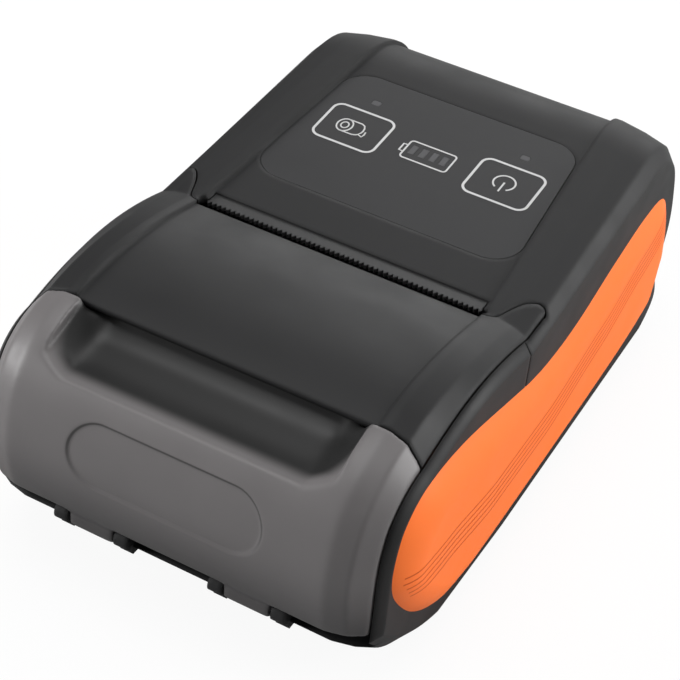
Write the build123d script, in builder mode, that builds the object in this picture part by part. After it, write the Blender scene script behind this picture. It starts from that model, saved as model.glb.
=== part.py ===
from build123d import *
from math import atan2, cos, degrees, hypot, radians, sin, sqrt
import os

os.makedirs("parts", exist_ok=True)

# Overall size of the case, X across, Y from the hinge end (-) to the button end (+), Z up
half_length = 69.0
foot_height = 0.8
case_bottom = foot_height
wall = 1.8
skin_gap = 0.3
seat_gap = 0.1

# Paper roll and its bay
paper_width = 57.5
paper_slack = 0.75
bay_half = paper_width / 2 + paper_slack
roll_radius = 20.0
bay_radius = roll_radius + 0.25
bay_wall = 1.3
bay_y = -43.4
bay_z = 23.2

# Tear slot and the top surfaces on its two sides
slot_y = -11.5
slot_half_gap = 1.4
slot_z = 46.8
lid_crest_y = -38.0
lid_crest_z = 51.0
ledge_y = -51.0
ledge_z = 49.6
panel_end_y = 43.0
panel_end_z = 52.1
panel_tilt = degrees(atan2(panel_end_z - slot_z, panel_end_y - slot_y))
rail_height = 0.8

# Cross-section of the case: distance from the middle, inset of the outline along most of its length,
# inset at the rounder roll end, taper of the far half
side_stations = ((31.0, 0.0, 0.0, 0.076), (34.8, 0.7, 1.4, 0.058), (37.6, 1.8, 5.0, 0.030),
                 (39.4, 4.5, 7.4, 0.022))
recess_half = 29.3
side_half = side_stations[-1][0]

# Side outline: y, z, and the direction in degrees that the surface faces there
shell_points = ((-58.5, 47.6, 112), (-64.8, 42.6, 135), (-68.3, 34.8, 165), (-half_length, 26.0, 182))
lip_point = (-65.7, 14.0, 205)
belly_point = (-58.9, 7.0, 228)
belly_end_y = -38.0
far_points = ((54.5, 50.6, 72), (61.0, 46.2, 50), (66.6, 36.0, 24), (half_length, 23.0, 3), (67.2, 10.0, -24))
far_end_y = 59.0

# Parting heights
case_split = 22.0
lip_top = 12.0
shell_bottom = 16.2

# Cover hinge
hinge_y = -64.4
hinge_z = 13.6
hinge_pin_radius = 0.8
running_fit = 0.05
knuckle_radius = 1.9
knuckle_inner = 11.2
knuckle_outer = 20.3
base_knuckle = 2.7
knuckle_gap = 0.3

# Cover skin, its wings beside the slot and the thumb scoop
cover_half = 37.6
cover_side = 1.4
wing_end_y = -3.0
scoop_half = 28.0
scoop_low_z = 42.6
scoop_wall = 1.2

# Platen and print head
platen_y = -17.6
platen_z = 37.4
platen_radius = 4.5
platen_half = 28.4
shaft_radius = 2.0
bush_radius = 3.0
ear_inner = 29.6
ear_thick = 1.5
head_gap = 0.06
head_half = 27.5
ceramic_thick = 1.0
sink_thick = 2.2
head_low_z = 30.0
head_high_z = 42.2
spring_length = 2.2
spring_slack = 0.62
spring_radius = 1.5
spring_x = 16.0

# Gear train
gear_module = 0.5
platen_teeth = 22
idler_teeth = 28
pinion_teeth = 12
idler_direction = -55.0
pinion_direction = -25.0
gear_x = 31.5
gear_width = 1.9
backlash = 0.06
plate_x = 29.7
plate_thick = 0.8
motor_radius = 7.5
motor_length = 12.0

# Control panel
overlay_near_y = 2.0
overlay_far_y = 39.2
overlay_near_half = 27.7
overlay_far_half = 24.9
overlay_corner = 6.0
overlay_thick = 0.5
key_x = 16.2
key_y = 22.7
key_half_x = 6.5
key_half_y = 5.5
key_corner = 1.9
key_gap = 0.15
key_travel = 0.35
stem_radius = 2.2
key_board_depth = 5.0
key_board_thick = 1.2
switch_size = 6.0
switch_height = 1.3
led_y = 31.8
led_half_x = 0.9
led_half_y = 0.65
gauge_x = 0.15
gauge_pitch = 2.2
gauge_bar = (1.2, 2.6)
panel_taper = 0.066
board_middle_y = 26.0
pillar_y = (16.5, 35.5)

# Tear bar
tooth_pitch = 1.0
tooth_count = 57
tooth_depth = 0.8
tear_thick = 0.8
tear_width = 2.4

# Side panels
side_taper = 0.022
side_near_y = -65.0

# Battery and its door
battery_near_y = 12.0
battery_length = 42.0
battery_half = 26.0
battery_height = 16.0
door_margin = 1.6
door_thick = 1.5
door_gap = 0.25
door_half = battery_half + door_margin

# Boards and socket
board_z = 24.0
board_thick = 1.6
board_half = 29.0
board_near_y = 12.0
board_far_y = 58.0
socket_half = 4.5
socket_height = 3.3
socket_depth = 7.4
socket_z = 11.0
socket_x = 12.0
screw_radius = 1.1
screw_head_radius = 2.0
foot_radius = 3.6


def moved(point, inset):
    """A point of the side outline pushed inward along its own normal."""
    y, z, facing = point
    return (y - inset * cos(radians(facing)), z - inset * sin(radians(facing)))


def near_outline(inset, round_inset, floor):
    """Closed side outline of the roll end, from the slot round the near end to the floor."""
    crest = (lid_crest_y, lid_crest_z - (inset + round_inset) / 2)
    ledge = (ledge_y, ledge_z - round_inset)
    lip = moved(lip_point, inset)
    with BuildLine() as outline:
        Spline((slot_y, slot_z - inset), crest, ledge, tangents=((-1, 0.28), (-1, -0.30)))
        Spline(ledge, *[moved(p, round_inset) for p in shell_points], lip)
        ThreePointArc(lip, moved(belly_point, inset), (belly_end_y, floor))
        Line((belly_end_y, floor), (slot_y, floor))
        Line((slot_y, floor), (slot_y, slot_z - inset))
    return outline.line


def far_outline(inset, floor, stretch):
    """Closed side outline of the button end, measured from the slot along a tapered plane."""
    def flat(y, z):
        return ((y - slot_y) * stretch, z)
    end = flat(panel_end_y, panel_end_z - inset)
    with BuildLine() as outline:
        Line(flat(slot_y, slot_z - inset), end)
        Spline(end, *[flat(*moved(p, inset)) for p in far_points], flat(far_end_y, floor),
               tangents=((cos(radians(panel_tilt)), sin(radians(panel_tilt))), (-1, -0.35)))
        Line(flat(far_end_y, floor), flat(slot_y, floor))
        Line(flat(slot_y, floor), flat(slot_y, slot_z - inset))
    return outline.line


def station_list(inset):
    """The stations of the cross-section for a form that lies inside the outer one by inset."""
    right = [(x - inset, drop + inset, end_drop + inset, taper) for x, drop, end_drop, taper in side_stations]
    return [(-x, drop, end_drop, -taper) for x, drop, end_drop, taper in reversed(right)] + right


def near_form(inset):
    """Solid of the roll end, as far as the slot."""
    with BuildPart() as form:
        for x, drop, end_drop, taper in station_list(inset):
            with BuildSketch(Plane.YZ.offset(x)):
                make_face(near_outline(drop, end_drop, case_bottom + inset))
        loft(ruled=True)
    return form.part


def far_form(inset):
    """Solid of the button end, which narrows away from the slot."""
    with BuildPart() as form:
        for x, drop, end_drop, taper in station_list(inset):
            stretch = sqrt(1 + taper * taper)
            plane = Plane(origin=(x, slot_y, 0), x_dir=(-taper, 1, 0), z_dir=(1, taper, 0))
            with BuildSketch(plane):
                make_face(far_outline(drop, case_bottom + inset, stretch))
        loft(ruled=True)
    return form.part


def block(x0, x1, y0, y1, z0, z1, mode=Mode.ADD):
    """A box between two corners, in the part that is being made."""
    with BuildSketch(Plane.XY.offset(z0)) as face:
        with Locations(((x0 + x1) / 2, (y0 + y1) / 2)):
            Rectangle(x1 - x0, y1 - y0)
    extrude(face.sketch, amount=z1 - z0, mode=mode)


def rod(y, z, radius, x0, x1, mode=Mode.ADD):
    """A round rod along X."""
    with BuildSketch(Plane.YZ.offset(x0)) as face:
        with Locations((y, z)):
            Circle(radius)
    extrude(face.sketch, amount=x1 - x0, mode=mode)


def post(x, y, radius, z0, z1, mode=Mode.ADD):
    """A round post along Z."""
    with BuildSketch(Plane.XY.offset(z0)) as face:
        with Locations((x, y)):
            Circle(radius)
    extrude(face.sketch, amount=z1 - z0, mode=mode)


def slab(points, x0, x1, mode=Mode.ADD):
    """A side-view polygon carried across X."""
    with BuildSketch(Plane.YZ.offset(x0)) as face:
        with BuildLine():
            Polyline(*points, close=True)
        make_face()
    extrude(face.sketch, amount=x1 - x0, mode=mode)


def save(piece, name):
    """Label a finished piece and write its file."""
    piece.part.label = name
    export_step(piece.part, "parts/" + name + ".step")


def panel_plane(depth):
    """The plane of the sloping control panel, at a depth under the rails."""
    lean, rise = sin(radians(panel_tilt)), cos(radians(panel_tilt))
    return Plane(origin=(0, slot_y + depth * lean, slot_z - depth * rise), x_dir=(1, 0, 0), z_dir=(0, -lean, rise))


def along(y):
    """Distance up the sloping panel from the slot to a place y."""
    return (y - slot_y) / cos(radians(panel_tilt))


def sink(face, depth_top, depth_low, mode=Mode.ADD):
    """Carry a face drawn on the panel from one depth under the rails to another."""
    with BuildSketch(panel_plane(depth_low)) as drawn:
        add(face)
    extrude(drawn.sketch, amount=depth_low - depth_top, mode=mode)


def lid_plan(grow):
    """The cover seen from above: a straight edge at the slot and a wing at each side."""
    edge = slot_y - slot_half_gap + grow
    half = cover_half + grow
    end = wing_end_y + grow
    with BuildSketch() as plan:
        with BuildLine():
            Polyline((0, edge), (recess_half + 0.3, edge))
            tip = (half - 1.7 - 1.5 * grow, end - 0.5)
            Spline((recess_half + 0.3, edge), (32.4 - 0.8 * grow, -9.4 + 0.6 * grow), tip,
                   tangents=((1, 0.15), (1, 0.8)))
            ThreePointArc(tip, (half - 0.3, end - 0.7), (half, end - 2.2))
            Polyline((half, end - 2.2), (half, -half_length - 9), (0, -half_length - 9), (0, edge))
        make_face()
        mirror(about=Plane.YZ)
    return plan.sketch


def recess_plan(y0, y1, taper):
    """The sunk middle strip between the two rails, seen from above."""
    far_half = recess_half - taper * (y1 - y0)
    with BuildSketch() as plan:
        with BuildLine():
            Polyline((-recess_half, y0), (recess_half, y0), (far_half, y1), (-far_half, y1), close=True)
        make_face()
    return plan.sketch


def scoop_form(grow):
    """The thumb scoop under the lid edge, shallower towards its two ends."""
    back = ledge_y + 0.6
    deep = [(back, 56.0), (back, ledge_z - wall + grow), (-48.2 + grow, 47.0 + grow / 2),
            (-52.6 + grow * 0.6, 44.2 - grow), (-59.0, scoop_low_z + 0.5 - grow),
            (-72.0, scoop_low_z + 0.3 - grow), (-72.0, 56.0)]
    ends = [(back, 56.0), (back, ledge_z - 0.4 + grow), (back - 0.3, 49.0),
            (-54.4 + grow, 47.6 - grow), (-61.0, 45.2 - grow), (-72.0, 44.2 - grow), (-72.0, 56.0)]
    spread = ((scoop_half + grow, ends), (scoop_half - 5.0 + grow, deep))
    with BuildPart() as form:
        for side, points in [(-x, p) for x, p in spread] + [(x, p) for x, p in reversed(spread)]:
            with BuildSketch(Plane.YZ.offset(side)):
                with BuildLine():
                    Polyline(*points, close=True)
                make_face()
        loft(ruled=True)
    return form.part


def gear_face(teeth, phase, centre, bore):
    """Outline of a spur gear with one tooth at the phase angle."""
    pitch = gear_module * teeth / 2
    tip, root = pitch + 0.9 * gear_module, pitch - 1.15 * gear_module
    step = 360 / teeth
    shape = ((root, -0.36), (tip, -0.13), (tip, 0.13), (root, 0.36))
    points = []
    for tooth in range(teeth):
        for radius, share in shape:
            turn = radians(phase + step * (tooth + share))
            points.append((centre[0] + radius * cos(turn), centre[1] + radius * sin(turn)))
    with BuildSketch() as face:
        with BuildLine():
            Polyline(*points, close=True)
        make_face()
        with Locations(centre):
            Circle(bore, mode=Mode.SUBTRACT)
    return face.sketch


def step_from(start, distance, direction):
    """The point at a distance and direction from a start, in the side view."""
    return (start[0] + distance * cos(radians(direction)), start[1] + distance * sin(radians(direction)))


# The whole case as one form, and the space inside it
with BuildPart() as outer_case:
    add(near_form(0))
    add(far_form(0))
with BuildPart() as inner_case:
    add(near_form(wall))
    add(far_form(wall))
with BuildPart() as near_sunk:
    add(near_form(rail_height))
with BuildPart() as far_sunk:
    add(far_form(rail_height))

tall = 80.0
overlay_top = rail_height
overlay_low = rail_height + overlay_thick
skin_low = rail_height + wall
key_board_top = skin_low + key_board_depth - 1.0
case_screw_places = ((33.2, 6.0), (31.3, 55.0))
board_post_places = ((31.0, 14.0), (30.5, 46.0))
foot_places = ((32.6, -30.0), (32.6, 35.0))


def both_sides(places):
    """Each place and its mirror image across the middle."""
    return [(side * x, y) for x, y in places for side in (-1, 1)]


def overlay_face(shrink):
    """Outline of the control panel sheet."""
    near, far = along(overlay_near_y) + shrink, along(overlay_far_y) - shrink
    with BuildSketch() as face:
        with BuildLine():
            Polyline((-overlay_near_half + shrink, near), (overlay_near_half - shrink, near),
                     (overlay_far_half - shrink, far), (-overlay_far_half + shrink, far), close=True)
        make_face()
        fillet(face.vertices(), overlay_corner - shrink)
    return face.sketch


def key_face(side, grow):
    """Outline of one key area on the panel sheet."""
    with BuildSketch() as face:
        with Locations((side * key_x, along(key_y))):
            RectangleRounded(2 * (key_half_x + grow), 2 * (key_half_y + grow), key_corner + grow)
    return face.sketch


def light_face(grow):
    """The two status lights."""
    with BuildSketch() as face:
        with Locations((-key_x, along(led_y)), (key_x, along(led_y))):
            RectangleRounded(2 * (led_half_x + grow), 2 * (led_half_y + grow), 0.4)
    return face.sketch


def gauge_face(grow):
    """The four bars of the battery gauge."""
    with BuildSketch() as face:
        with Locations((gauge_x, along(key_y))):
            with GridLocations(gauge_pitch, 0, 4, 1):
                Rectangle(gauge_bar[0] + 2 * grow, gauge_bar[1] + 2 * grow)
    return face.sketch


# Lower case with its roll bay, side cheeks and hinge knuckles
with BuildPart() as base_case:
    slab(((-tall, -1), (-tall, lip_top), (-60.5, lip_top), (-60.5, case_split), (tall, case_split), (tall, -1)),
         -tall, tall)
    for side in (-1, 1):
        x0, x1 = sorted((side * (cover_half + skin_gap), side * tall))
        block(x0, x1, -tall, slot_y - slot_half_gap, 0, tall)
    add(outer_case.part, mode=Mode.INTERSECT)
    add(inner_case.part, mode=Mode.SUBTRACT)
    block(-cover_half - skin_gap, cover_half + skin_gap, -tall, slot_y - slot_half_gap + skin_gap,
          lip_top, tall, mode=Mode.SUBTRACT)
    rod(bay_y, bay_z, bay_radius + bay_wall, -bay_half - bay_wall, bay_half + bay_wall)
    rod(bay_y, bay_z, bay_radius, -bay_half, bay_half, mode=Mode.SUBTRACT)
    block(-bay_half - 2, bay_half + 2, -tall, bay_y - 12, lip_top, tall, mode=Mode.SUBTRACT)
    block(-bay_half - 2, bay_half + 2, bay_y - 13, -20, 26.0, tall, mode=Mode.SUBTRACT)
    for place in both_sides(case_screw_places):
        post(*place, 2.2, case_bottom + 0.5, case_split)
    for place in both_sides(board_post_places):
        post(*place, 2.0, case_bottom + 0.5, board_z)
    for side in (-1, 1):
        for x in (knuckle_inner - base_knuckle - knuckle_gap, knuckle_outer + knuckle_gap):
            x0, x1 = sorted((side * x, side * (x + base_knuckle)))
            rod(hinge_y, hinge_z, knuckle_radius, x0, x1)
            block(x0, x1, hinge_y + 0.4, hinge_y + knuckle_radius, lip_top - 2.0, hinge_z + 0.8)
        x0, x1 = sorted((side * (knuckle_inner - knuckle_gap), side * (knuckle_outer + knuckle_gap)))
        rod(hinge_y, hinge_z, knuckle_radius + 0.35, x0, x1, mode=Mode.SUBTRACT)
        x0, x1 = sorted((side * (knuckle_inner - 2.8), side * (knuckle_outer + 2.8)))
        rod(hinge_y, hinge_z, hinge_pin_radius, x0, x1, mode=Mode.SUBTRACT)
    block(-door_half - door_gap, door_half + door_gap, battery_near_y - door_margin - door_gap,
          battery_near_y + battery_length + door_margin + door_gap, 0, case_bottom + 3, mode=Mode.SUBTRACT)
    rod(battery_near_y - 0.6, case_bottom + door_thick / 2, 0.55, -door_half - 1.3, door_half + 1.3,
        mode=Mode.SUBTRACT)
    for place in both_sides(case_screw_places):
        post(*place, screw_radius, 0, case_split + 1, mode=Mode.SUBTRACT)
        post(*place, screw_head_radius + 0.1, 0, case_bottom + 1.6, mode=Mode.SUBTRACT)
    for place in both_sides(board_post_places):
        post(*place, screw_radius, board_z - 6, board_z, mode=Mode.SUBTRACT)
    for place in both_sides(foot_places):
        post(*place, foot_radius, 0, case_bottom + 0.5, mode=Mode.SUBTRACT)
    block(-3.1, 3.1, bay_y - 2.1, bay_y + 2.1, case_bottom + 0.9, bay_z - bay_radius + 0.5, mode=Mode.SUBTRACT)
save(base_case, "base_case")

# Upper housing over the button end
with BuildPart() as upper_housing:
    block(-tall, tall, slot_y - slot_half_gap + skin_gap, tall, case_split, tall)
    add(outer_case.part, mode=Mode.INTERSECT)
    add(inner_case.part, mode=Mode.SUBTRACT)
    with BuildSketch(Plane.XY.offset(38.5)) as wing_room:
        add(lid_plan(skin_gap))
        with Locations((0, slot_y)):
            SlotOverall(2 * (recess_half + 0.4), 2 * slot_half_gap)
    extrude(wing_room.sketch, amount=tall, mode=Mode.SUBTRACT)
    with BuildPart(mode=Mode.PRIVATE) as strip:
        extrude(recess_plan(slot_y - 3, 62.0, panel_taper), amount=tall)
        add(far_sunk.part, mode=Mode.SUBTRACT)
    add(strip.part, mode=Mode.SUBTRACT)
    sink(overlay_face(-1.0), wall - 0.1, skin_low + 0.6)
    with BuildPart(mode=Mode.PRIVATE) as bosses:
        for place in both_sides(case_screw_places):
            post(*place, 2.2, case_split, tall)
        add(outer_case.part, mode=Mode.INTERSECT)
    add(bosses.part)
    for place in both_sides(case_screw_places):
        post(*place, screw_radius, case_split - 1, case_split + 9, mode=Mode.SUBTRACT)
    for x in (-22.5, 22.5):
        for y in pillar_y:
            with BuildSketch(panel_plane(key_board_top)) as pillar:
                with Locations((x, along(y))):
                    Circle(1.6)
            extrude(pillar.sketch, amount=key_board_depth)
    sink(overlay_face(-seat_gap), 0, overlay_low, mode=Mode.SUBTRACT)
    for side in (-1, 1):
        with BuildSketch() as stem_hole:
            with Locations((side * key_x, along(key_y))):
                Circle(stem_radius + 0.15)
        sink(stem_hole.sketch, 0, skin_low + 2, mode=Mode.SUBTRACT)
        sink(key_face(side, key_gap), 0, overlay_low + key_travel + 0.1, mode=Mode.SUBTRACT)
    sink(light_face(seat_gap), 0, skin_low + 2, mode=Mode.SUBTRACT)
    sink(gauge_face(seat_gap), 0, skin_low + 2, mode=Mode.SUBTRACT)
    block(-recess_half + 0.9, recess_half - 0.9, slot_y, slot_y + slot_half_gap + tear_width,
          slot_z - rail_height - tear_thick - 0.3, tall, mode=Mode.SUBTRACT)
    block(socket_x - socket_half - 0.3, socket_x + socket_half + 0.3, half_length - 8, tall,
          board_z + board_thick - 0.2, board_z + board_thick + socket_height + 0.3, mode=Mode.SUBTRACT)
save(upper_housing, "upper_housing")

# Serrated tear bar along the slot
tear_top = slot_z - rail_height + 0.1
with BuildPart() as tear_bar:
    teeth_edge = slot_y + 0.3
    first = -tooth_pitch * tooth_count / 2
    points = [(-recess_half + 1.1, slot_y + slot_half_gap + tear_width - 0.1)]
    points.append((-recess_half + 1.1, teeth_edge + tooth_depth))
    for tooth in range(tooth_count):
        points.append((first + tooth * tooth_pitch, teeth_edge + tooth_depth))
        points.append((first + (tooth + 0.5) * tooth_pitch, teeth_edge))
    points.append((-first, teeth_edge + tooth_depth))
    points.append((recess_half - 1.1, teeth_edge + tooth_depth))
    points.append((recess_half - 1.1, slot_y + slot_half_gap + tear_width - 0.1))
    with BuildSketch(Plane.XY.offset(tear_top - tear_thick)):
        with BuildLine():
            Polyline(*points, close=True)
        make_face()
    extrude(amount=tear_thick)
save(tear_bar, "tear_bar")

# Control panel: sheet, two keys, lights
with BuildPart() as panel_overlay:
    sink(overlay_face(0), overlay_top, overlay_low)
    for side in (-1, 1):
        sink(key_face(side, key_gap), 0, overlay_low + 1, mode=Mode.SUBTRACT)
    sink(light_face(0.05), 0, overlay_low + 1, mode=Mode.SUBTRACT)
    sink(gauge_face(0.05), 0, overlay_low + 1, mode=Mode.SUBTRACT)
save(panel_overlay, "panel_overlay")

for side, name in ((-1, "feed_key"), (1, "power_key")):
    with BuildPart() as key:
        sink(key_face(side, 0), overlay_top, overlay_low)
        with BuildSketch() as stem:
            with Locations((side * key_x, along(key_y))):
                Circle(stem_radius)
        sink(stem.sketch, overlay_low, key_board_top - switch_height - key_travel - 0.1)
    save(key, name)

with BuildPart() as status_lights:
    sink(light_face(0), overlay_top, key_board_top)
save(status_lights, "status_lights")

with BuildPart() as gauge_lights:
    sink(gauge_face(0), overlay_top, key_board_top)
save(gauge_lights, "gauge_lights")

with BuildPart() as key_board:
    with BuildSketch() as board_shape:
        with Locations((0, along(board_middle_y))):
            RectangleRounded(50, 24, 2)
    sink(board_shape.sketch, key_board_top, key_board_top + key_board_thick)
save(key_board, "key_board")

with BuildPart() as dome_switches:
    with BuildSketch() as bodies:
        with Locations((-key_x, along(key_y)), (key_x, along(key_y))):
            RectangleRounded(switch_size, switch_size, 0.5)
    sink(bodies.sketch, key_board_top - switch_height, key_board_top)
save(dome_switches, "dome_switches")

# Cover: top plate, see-through shell, inner frame
with BuildPart() as cover_room:
    block(-cover_half, cover_half, -tall, 0, 0, tall)
    add(outer_case.part, mode=Mode.INTERSECT)
with BuildPart() as cover_hollow:
    block(-cover_half + cover_side, cover_half - cover_side, -tall, 10, 0, tall)
    add(inner_case.part, mode=Mode.INTERSECT)

frame_top = 45.3
frame_thick = 1.2
frame_half = ear_inner + ear_thick + 0.1
cover_screw_places = ((26.0, -41.0), (26.0, -25.0))
with BuildPart() as cover_top_plate:
    extrude(lid_plan(0), amount=tall)
    add(cover_room.part, mode=Mode.INTERSECT)
    add(cover_hollow.part, mode=Mode.SUBTRACT)
    slab(((ledge_y, tall), (0, tall), (0, 39.0), (-20, 39.0), (ledge_y, 41.0)), -tall, tall, mode=Mode.INTERSECT)
    with BuildPart(mode=Mode.PRIVATE) as strip:
        extrude(recess_plan(ledge_y - 5, slot_y, 0), amount=tall)
        add(near_sunk.part, mode=Mode.SUBTRACT)
    add(strip.part, mode=Mode.SUBTRACT)
    with BuildPart(mode=Mode.PRIVATE) as bosses:
        for place in both_sides(cover_screw_places):
            post(*place, 2.4, frame_top, tall)
        add(near_sunk.part, mode=Mode.INTERSECT)
    add(bosses.part)
    for place in both_sides(cover_screw_places):
        post(*place, screw_radius, frame_top - 1, frame_top + 2.4, mode=Mode.SUBTRACT)
save(cover_top_plate, "cover_top_plate")

with BuildPart() as cover_shell:
    slab(((-tall, shell_bottom), (-58, shell_bottom), (-50, 26), (-49.5, 41.0), (ledge_y, 41.0),
          (ledge_y, tall), (-tall, tall)), -tall, tall)
    add(cover_room.part, mode=Mode.INTERSECT)
    add(cover_hollow.part, mode=Mode.SUBTRACT)
    with BuildPart(mode=Mode.PRIVATE) as pocket:
        add(scoop_form(scoop_wall))
        slab(((-tall, 0), (-46.0, 0), (-46.0, 47.3), (ledge_y, 47.3), (ledge_y, tall), (-tall, tall)),
             -tall, tall, mode=Mode.INTERSECT)
        add(cover_room.part, mode=Mode.INTERSECT)
    add(pocket.part)
    add(scoop_form(0), mode=Mode.SUBTRACT)
    for side in (-1, 1):
        x0, x1 = sorted((side * knuckle_inner, side * knuckle_outer))
        rod(hinge_y, hinge_z, knuckle_radius, x0, x1)
        block(x0, x1, hinge_y - 1.8, hinge_y + 1.5, hinge_z, shell_bottom + 1.6)
        rod(hinge_y, hinge_z, hinge_pin_radius + running_fit, x0, x1, mode=Mode.SUBTRACT)
save(cover_shell, "cover_shell")

with BuildPart() as cover_frame:
    block(-frame_half, frame_half, -45.0, -14.6, frame_top - frame_thick, frame_top)
    for side in (-1, 1):
        x0, x1 = sorted((side * ear_inner, side * (ear_inner + ear_thick)))
        block(x0, x1, platen_y - 4.0, platen_y + 3.9, platen_z - 3.9, frame_top - frame_thick)
        rod(platen_y, platen_z, bush_radius, x0, x1, mode=Mode.SUBTRACT)
    for place in both_sides(cover_screw_places):
        post(*place, screw_radius, 40, frame_top + 1, mode=Mode.SUBTRACT)
save(cover_frame, "cover_frame")

with BuildPart() as cover_screws:
    for place in both_sides(cover_screw_places):
        post(*place, screw_radius, frame_top - frame_thick, frame_top + 2.2)
        post(*place, screw_head_radius, frame_top - frame_thick - 0.9, frame_top - frame_thick)
save(cover_screws, "cover_screws")

with BuildPart() as hinge_pins:
    for side in (-1, 1):
        x0, x1 = sorted((side * (knuckle_inner - 2.8), side * (knuckle_outer + 2.8)))
        rod(hinge_y, hinge_z, hinge_pin_radius, x0, x1)
save(hinge_pins, "hinge_pins")

# Platen roller in the cover
with BuildPart() as platen_bushes:
    for side in (-1, 1):
        x0, x1 = sorted((side * ear_inner, side * (ear_inner + ear_thick)))
        rod(platen_y, platen_z, bush_radius, x0, x1)
        rod(platen_y, platen_z, shaft_radius + running_fit, x0, x1, mode=Mode.SUBTRACT)
save(platen_bushes, "platen_bushes")

with BuildPart() as platen_shaft:
    rod(platen_y, platen_z, shaft_radius, -ear_inner - ear_thick - 0.4, gear_x + gear_width + 0.3)
save(platen_shaft, "platen_shaft")

with BuildPart() as platen_roller:
    rod(platen_y, platen_z, platen_radius, -platen_half, platen_half)
    rod(platen_y, platen_z, shaft_radius, -platen_half, platen_half, mode=Mode.SUBTRACT)
save(platen_roller, "platen_roller")

# Gear train from the motor to the platen
idler_place = step_from((platen_y, platen_z), gear_module * (platen_teeth + idler_teeth) / 2 + backlash,
                        idler_direction)
pinion_place = step_from(idler_place, gear_module * (idler_teeth + pinion_teeth) / 2 + backlash,
                         pinion_direction)
idler_phase = idler_direction + 180 + 180 / idler_teeth
tooth_step = 360 / idler_teeth
lead = (idler_phase - pinion_direction) % tooth_step
pinion_phase = pinion_direction + 180 - lead * idler_teeth / pinion_teeth + 180 / pinion_teeth
gears = (("platen_gear", platen_teeth, idler_direction, (platen_y, platen_z), shaft_radius),
         ("idler_gear", idler_teeth, idler_phase, idler_place, 1.0 + running_fit),
         ("motor_pinion", pinion_teeth, pinion_phase, pinion_place, 0.8))
for name, teeth, phase, centre, bore in gears:
    with BuildPart() as gear:
        with BuildSketch(Plane.YZ.offset(gear_x)):
            add(gear_face(teeth, phase, centre, bore))
        extrude(amount=gear_width)
    save(gear, name)

with BuildPart() as idler_pin:
    rod(*idler_place, 1.0, plate_x, gear_x + gear_width + 0.3)
    rod(*idler_place, 1.6, gear_x + gear_width + 0.3, gear_x + gear_width + 0.8)
    rod(*idler_place, 1.6, plate_x + plate_thick, gear_x - 0.3)
save(idler_pin, "idler_pin")

with BuildPart() as gear_plate:
    slab(((-13.2, 14.5), (8.0, 14.5), (8.0, 31.0), (-6.0, 33.5), (-13.2, 33.5)), plate_x, plate_x + plate_thick)
    rod(*idler_place, 1.0, plate_x - 1, plate_x + 2, mode=Mode.SUBTRACT)
    rod(*pinion_place, 1.4, plate_x - 1, plate_x + 2, mode=Mode.SUBTRACT)
save(gear_plate, "gear_plate")

with BuildPart() as stepper_motor:
    rod(*pinion_place, motor_radius, plate_x - motor_length, plate_x)
    rod(*pinion_place, 2.5, plate_x - motor_length - 1.0, plate_x - motor_length)
save(stepper_motor, "stepper_motor")

with BuildPart() as motor_shaft:
    rod(*pinion_place, 0.8, plate_x + 0.1, gear_x + gear_width + 0.3)
save(motor_shaft, "motor_shaft")

# Print head on its sprung pivot
head_face_y = platen_y + platen_radius + head_gap
sink_back_y = head_face_y + ceramic_thick + sink_thick
pivot_y = sink_back_y - 0.3
pivot_z = head_low_z + 0.4
mech_back_y = sink_back_y + spring_length + spring_slack
with BuildPart() as thermal_head:
    block(-head_half, head_half, head_face_y, head_face_y + ceramic_thick, head_low_z + 3, head_high_z)
save(thermal_head, "thermal_head")

with BuildPart() as head_heatsink:
    block(-head_half, head_half, head_face_y + ceramic_thick, sink_back_y, head_low_z, head_high_z)
    rod(pivot_y, pivot_z, 1.8, -head_half, head_half)
    rod(pivot_y, pivot_z, 1.0 + running_fit, -head_half, head_half, mode=Mode.SUBTRACT)
save(head_heatsink, "head_heatsink")

with BuildPart() as head_pin:
    rod(pivot_y, pivot_z, 1.0, -plate_x, plate_x)
save(head_pin, "head_pin")

mech_half = plate_x
with BuildPart() as mech_frame:
    block(-mech_half, mech_half, mech_back_y, mech_back_y + 1.4, case_bottom + wall, 41.0)
    for side in (-1, 1):
        x0, x1 = sorted((side * (mech_half - 1.0), side * mech_half))
        block(x0, x1, pivot_y - 1.9, mech_back_y, pivot_z + 1.6, pivot_z + 6)
        block(x0, x1, pivot_y - 1.9, pivot_y + 1.3, pivot_z - 1.9, pivot_z + 2)
    rod(pivot_y, pivot_z, 1.0, -mech_half, mech_half, mode=Mode.SUBTRACT)
    block(plate_x - motor_length - 1.4, mech_half + 1, mech_back_y - 0.1, mech_back_y + 2,
          pinion_place[1] - motor_radius - 0.5, pinion_place[1] + motor_radius + 0.4, mode=Mode.SUBTRACT)
save(mech_frame, "mech_frame")

with BuildPart() as head_springs:
    for side in (-1, 1):
        with BuildSketch(Plane.XZ.offset(-mech_back_y)) as ring:
            with Locations((side * spring_x, pivot_z + 8)):
                Circle(spring_radius)
                Circle(spring_radius - 0.5, mode=Mode.SUBTRACT)
        extrude(ring.sketch, amount=spring_length)
save(head_springs, "head_springs")

# Battery and its door
with BuildPart() as battery_pack:
    block(-battery_half, battery_half, battery_near_y, battery_near_y + battery_length,
          case_bottom + door_thick + 0.4, case_bottom + door_thick + 0.4 + battery_height)
    fillet(battery_pack.edges().filter_by(Axis.Y), 2.0)
save(battery_pack, "battery_pack")

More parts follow.
